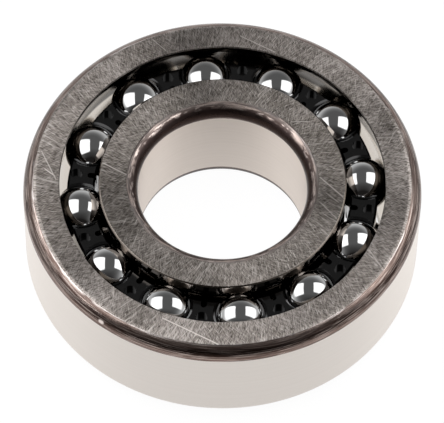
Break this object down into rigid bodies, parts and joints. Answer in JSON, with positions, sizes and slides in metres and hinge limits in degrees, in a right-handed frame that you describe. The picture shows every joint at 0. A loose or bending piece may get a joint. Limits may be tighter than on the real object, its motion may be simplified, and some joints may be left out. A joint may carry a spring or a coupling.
{
  "type": "double row self-aligning ball bearing",
  "caption": "Open double row ball bearing: inner ring, staggered balls and moulded cage tilt together in an outer ring with a spherical raceway, on a cylindrical bore.",
  "frame": {"origin": "the bearing's centre: on its axis, halfway between the side faces, and the centre of the spherical raceway", "axes": "+Z along the bearing's axis, out of the side face that the picture shows; the first ball of the upper row stands 8 degrees round from +X"},
  "size_m": [0.047, 0.047, 0.014],
  "materials": {
    "bearing_steel_ring": "through-hardened bearing steel, ground, with corners left as turned and heat treated",
    "bearing_steel_ball": "through-hardened bearing steel, lapped to a mirror",
    "moulded_polyamide": "black glass-fibre reinforced polyamide, as moulded"
  },
  "bodies": {
    "outer_ring": {"outer_ring": "bearing_steel_ring"},
    "cage": {"cage": "moulded_polyamide"},
    "inner_ring": {"inner_ring": "bearing_steel_ring"},
    "ball_upper_01": {"ball_upper_01": "bearing_steel_ball"},
    "ball_upper_02": {"ball_upper_02": "bearing_steel_ball"},
    "ball_upper_03": {"ball_upper_03": "bearing_steel_ball"},
    "ball_upper_04": {"ball_upper_04": "bearing_steel_ball"},
    "ball_upper_05": {"ball_upper_05": "bearing_steel_ball"},
    "ball_upper_06": {"ball_upper_06": "bearing_steel_ball"},
    "ball_upper_07": {"ball_upper_07": "bearing_steel_ball"},
    "ball_upper_08": {"ball_upper_08": "bearing_steel_ball"},
    "ball_upper_09": {"ball_upper_09": "bearing_steel_ball"},
    "ball_upper_10": {"ball_upper_10": "bearing_steel_ball"},
    "ball_upper_11": {"ball_upper_11": "bearing_steel_ball"},
    "ball_upper_12": {"ball_upper_12": "bearing_steel_ball"},
    "ball_lower_01": {"ball_lower_01": "bearing_steel_ball"},
    "ball_lower_02": {"ball_lower_02": "bearing_steel_ball"},
    "ball_lower_03": {"ball_lower_03": "bearing_steel_ball"},
    "ball_lower_04": {"ball_lower_04": "bearing_steel_ball"},
    "ball_lower_05": {"ball_lower_05": "bearing_steel_ball"},
    "ball_lower_06": {"ball_lower_06": "bearing_steel_ball"},
    "ball_lower_07": {"ball_lower_07": "bearing_steel_ball"},
    "ball_lower_08": {"ball_lower_08": "bearing_steel_ball"},
    "ball_lower_09": {"ball_lower_09": "bearing_steel_ball"},
    "ball_lower_10": {"ball_lower_10": "bearing_steel_ball"},
    "ball_lower_11": {"ball_lower_11": "bearing_steel_ball"},
    "ball_lower_12": {"ball_lower_12": "bearing_steel_ball"}
  },
  "joints": [
    {"name": "self_align", "type": "hinge", "parent": "outer_ring", "child": "cage", "pos_m": [0, 0, 0], "axis": [1, 0, 0], "range_deg": [-4, 4]},
    {"name": "inner_ring_spin", "type": "hinge", "parent": "cage", "child": "inner_ring", "pos_m": [0, 0, 0], "axis": [0, 0, 1], "continuous": true},
    {"name": "ball_upper_01_spin", "type": "hinge", "parent": "cage", "child": "ball_upper_01", "pos_m": [0.01671, 0.00235, 0.0031], "axis": [-0.1791, -0.0252, 0.9835], "continuous": true},
    {"name": "ball_upper_02_spin", "type": "hinge", "parent": "cage", "child": "ball_upper_02", "pos_m": [0.0133, 0.01039, 0.0031], "axis": [-0.1425, -0.1113, 0.9835], "continuous": true},
    {"name": "ball_upper_03_spin", "type": "hinge", "parent": "cage", "child": "ball_upper_03", "pos_m": [0.00632, 0.01565, 0.0031], "axis": [-0.0677, -0.1677, 0.9835], "continuous": true},
    {"name": "ball_upper_04_spin", "type": "hinge", "parent": "cage", "child": "ball_upper_04", "pos_m": [-0.00235, 0.01671, 0.0031], "axis": [0.0252, -0.1791, 0.9835], "continuous": true},
    {"name": "ball_upper_05_spin", "type": "hinge", "parent": "cage", "child": "ball_upper_05", "pos_m": [-0.01039, 0.0133, 0.0031], "axis": [0.1113, -0.1425, 0.9835], "continuous": true},
    {"name": "ball_upper_06_spin", "type": "hinge", "parent": "cage", "child": "ball_upper_06", "pos_m": [-0.01565, 0.00632, 0.0031], "axis": [0.1677, -0.0677, 0.9835], "continuous": true},
    {"name": "ball_upper_07_spin", "type": "hinge", "parent": "cage", "child": "ball_upper_07", "pos_m": [-0.01671, -0.00235, 0.0031], "axis": [0.1791, 0.0252, 0.9835], "continuous": true},
    {"name": "ball_upper_08_spin", "type": "hinge", "parent": "cage", "child": "ball_upper_08", "pos_m": [-0.0133, -0.01039, 0.0031], "axis": [0.1425, 0.1113, 0.9835], "continuous": true},
    {"name": "ball_upper_09_spin", "type": "hinge", "parent": "cage", "child": "ball_upper_09", "pos_m": [-0.00632, -0.01565, 0.0031], "axis": [0.0677, 0.1677, 0.9835], "continuous": true},
    {"name": "ball_upper_10_spin", "type": "hinge", "parent": "cage", "child": "ball_upper_10", "pos_m": [0.00235, -0.01671, 0.0031], "axis": [-0.0252, 0.1791, 0.9835], "continuous": true},
    {"name": "ball_upper_11_spin", "type": "hinge", "parent": "cage", "child": "ball_upper_11", "pos_m": [0.01039, -0.0133, 0.0031], "axis": [-0.1113, 0.1425, 0.9835], "continuous": true},
    {"name": "ball_upper_12_spin", "type": "hinge", "parent": "cage", "child": "ball_upper_12", "pos_m": [0.01565, -0.00632, 0.0031], "axis": [-0.1677, 0.0677, 0.9835], "continuous": true},
    {"name": "ball_lower_01_spin", "type": "hinge", "parent": "cage", "child": "ball_lower_01", "pos_m": [0.01553, 0.00659, -0.0031], "axis": [0.1665, 0.0707, 0.9835], "continuous": true},
    {"name": "ball_lower_02_spin", "type": "hinge", "parent": "cage", "child": "ball_lower_02", "pos_m": [0.01016, 0.01348, -0.0031], "axis": [0.1088, 0.1444, 0.9835], "continuous": true},
    {"name": "ball_lower_03_spin", "type": "hinge", "parent": "cage", "child": "ball_lower_03", "pos_m": [0.00206, 0.01675, -0.0031], "axis": [0.022, 0.1795, 0.9835], "continuous": true},
    {"name": "ball_lower_04_spin", "type": "hinge", "parent": "cage", "child": "ball_lower_04", "pos_m": [-0.00659, 0.01553, -0.0031], "axis": [-0.0707, 0.1665, 0.9835], "continuous": true},
    {"name": "ball_lower_05_spin", "type": "hinge", "parent": "cage", "child": "ball_lower_05", "pos_m": [-0.01348, 0.01016, -0.0031], "axis": [-0.1444, 0.1088, 0.9835], "continuous": true},
    {"name": "ball_lower_06_spin", "type": "hinge", "parent": "cage", "child": "ball_lower_06", "pos_m": [-0.01675, 0.00206, -0.0031], "axis": [-0.1795, 0.022, 0.9835], "continuous": true},
    {"name": "ball_lower_07_spin", "type": "hinge", "parent": "cage", "child": "ball_lower_07", "pos_m": [-0.01553, -0.00659, -0.0031], "axis": [-0.1665, -0.0707, 0.9835], "continuous": true},
    {"name": "ball_lower_08_spin", "type": "hinge", "parent": "cage", "child": "ball_lower_08", "pos_m": [-0.01016, -0.01348, -0.0031], "axis": [-0.1088, -0.1444, 0.9835], "continuous": true},
    {"name": "ball_lower_09_spin", "type": "hinge", "parent": "cage", "child": "ball_lower_09", "pos_m": [-0.00206, -0.01675, -0.0031], "axis": [-0.022, -0.1795, 0.9835], "continuous": true},
    {"name": "ball_lower_10_spin", "type": "hinge", "parent": "cage", "child": "ball_lower_10", "pos_m": [0.00659, -0.01553, -0.0031], "axis": [0.0707, -0.1665, 0.9835], "continuous": true},
    {"name": "ball_lower_11_spin", "type": "hinge", "parent": "cage", "child": "ball_lower_11", "pos_m": [0.01348, -0.01016, -0.0031], "axis": [0.1444, -0.1088, 0.9835], "continuous": true},
    {"name": "ball_lower_12_spin", "type": "hinge", "parent": "cage", "child": "ball_lower_12", "pos_m": [0.01675, -0.00206, -0.0031], "axis": [0.1795, -0.022, 0.9835], "continuous": true}
  ],
  "couplings": [
    {"joint": "ball_upper_01_spin", "follows": "inner_ring_spin", "ratio": -4.3315},
    {"joint": "ball_upper_02_spin", "follows": "inner_ring_spin", "ratio": -4.3315},
    {"joint": "ball_upper_03_spin", "follows": "inner_ring_spin", "ratio": -4.3315},
    {"joint": "ball_upper_04_spin", "follows": "inner_ring_spin", "ratio": -4.3315},
    {"joint": "ball_upper_05_spin", "follows": "inner_ring_spin", "ratio": -4.3315},
    {"joint": "ball_upper_06_spin", "follows": "inner_ring_spin", "ratio": -4.3315},
    {"joint": "ball_upper_07_spin", "follows": "inner_ring_spin", "ratio": -4.3315},
    {"joint": "ball_upper_08_spin", "follows": "inner_ring_spin", "ratio": -4.3315},
    {"joint": "ball_upper_09_spin", "follows": "inner_ring_spin", "ratio": -4.3315},
    {"joint": "ball_upper_10_spin", "follows": "inner_ring_spin", "ratio": -4.3315},
    {"joint": "ball_upper_11_spin", "follows": "inner_ring_spin", "ratio": -4.3315},
    {"joint": "ball_upper_12_spin", "follows": "inner_ring_spin", "ratio": -4.3315},
    {"joint": "ball_lower_01_spin", "follows": "inner_ring_spin", "ratio": -4.3315},
    {"joint": "ball_lower_02_spin", "follows": "inner_ring_spin", "ratio": -4.3315},
    {"joint": "ball_lower_03_spin", "follows": "inner_ring_spin", "ratio": -4.3315},
    {"joint": "ball_lower_04_spin", "follows": "inner_ring_spin", "ratio": -4.3315},
    {"joint": "ball_lower_05_spin", "follows": "inner_ring_spin", "ratio": -4.3315},
    {"joint": "ball_lower_06_spin", "follows": "inner_ring_spin", "ratio": -4.3315},
    {"joint": "ball_lower_07_spin", "follows": "inner_ring_spin", "ratio": -4.3315},
    {"joint": "ball_lower_08_spin", "follows": "inner_ring_spin", "ratio": -4.3315},
    {"joint": "ball_lower_09_spin", "follows": "inner_ring_spin", "ratio": -4.3315},
    {"joint": "ball_lower_10_spin", "follows": "inner_ring_spin", "ratio": -4.3315},
    {"joint": "ball_lower_11_spin", "follows": "inner_ring_spin", "ratio": -4.3315},
    {"joint": "ball_lower_12_spin", "follows": "inner_ring_spin", "ratio": -4.3315}
  ]
}
